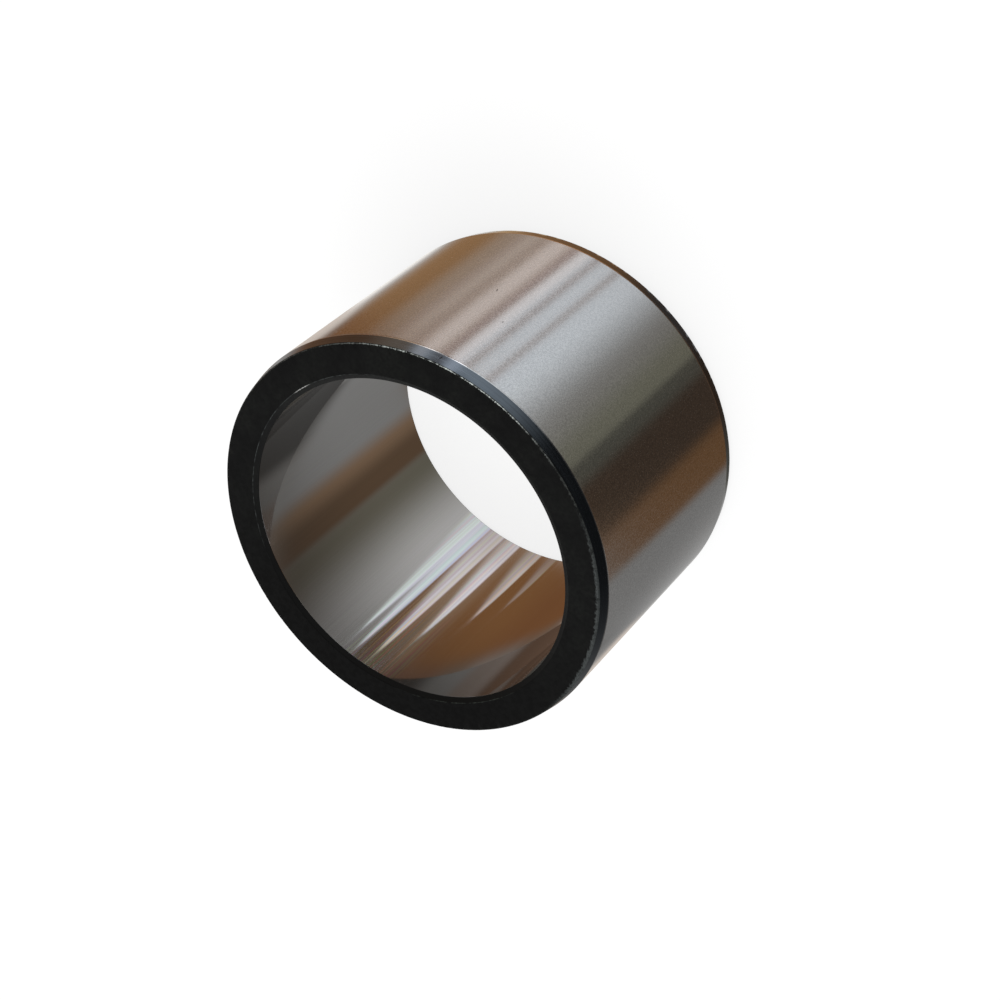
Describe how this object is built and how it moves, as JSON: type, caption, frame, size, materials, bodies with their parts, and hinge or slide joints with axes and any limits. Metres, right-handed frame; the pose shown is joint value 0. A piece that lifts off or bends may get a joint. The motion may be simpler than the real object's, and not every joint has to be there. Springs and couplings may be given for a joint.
{
  "type": "sleeve bushing",
  "caption": "Plain steel sleeve bushing with a smooth bore, tapered press-in leads at both ends of the outside and chamfered bore mouths.",
  "frame": {"origin": "centre of the lower end face's plane, on the axis", "axes": "+Z along the sleeve's axis, from the end face it stands on to the other"},
  "size_m": [0.08, 0.08, 0.0525],
  "materials": {
    "ground_steel": "ground outside and bore, blackened end faces, leads and bore mouths"
  },
  "bodies": {
    "root": {"bushing": "ground_steel"}
  },
  "joints": []
}
